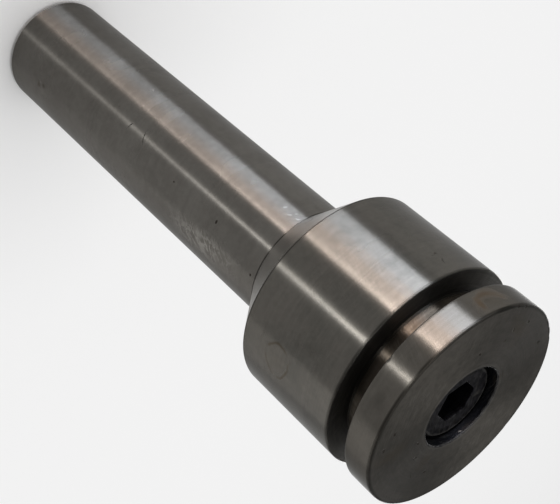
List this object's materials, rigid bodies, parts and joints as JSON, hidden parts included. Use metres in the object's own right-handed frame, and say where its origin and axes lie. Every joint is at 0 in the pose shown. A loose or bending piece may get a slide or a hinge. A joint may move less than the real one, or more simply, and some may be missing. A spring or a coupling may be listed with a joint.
{
  "type": "side milling cutter arbor",
  "caption": "Straight-shank arbor with a shouldered head and a short pilot that centres a side milling cutter, clamped by a flanged cap and a sunk socket head screw.",
  "frame": {"origin": "centre of the shank's rear end face, the lowest point as the arbor stands", "axes": "+Z along the arbor's axis from the shank towards the cap; round about Z, with two corners of the key socket on the Y axis"},
  "size_m": [0.034, 0.034, 0.1071],
  "materials": {
    "ground_steel": "cylindrically ground, dull grey, lightly scuffed",
    "cap_steel": "ground rim and satin faced front, small rust pits",
    "blackened_steel": "black oxide, scuffed"
  },
  "bodies": {
    "arbor": {"arbor_body": "ground_steel"},
    "cap": {"clamping_cap": "cap_steel"},
    "screw": {"cap_screw": "blackened_steel"}
  },
  "joints": [
    {"name": "cap_slide", "type": "slide", "parent": "arbor", "child": "cap", "axis": [0, 0, 1], "range_m": [0, 0.014]},
    {"name": "screw_turn", "type": "hinge", "parent": "cap", "child": "screw", "pos_m": [0, 0, 0.09786], "axis": [0, 0, 1], "range_deg": [0, 4032]}
  ],
  "couplings": [
    {"joint": "screw_turn", "follows": "cap_slide", "rad_per_m": 5026.5}
  ]
}
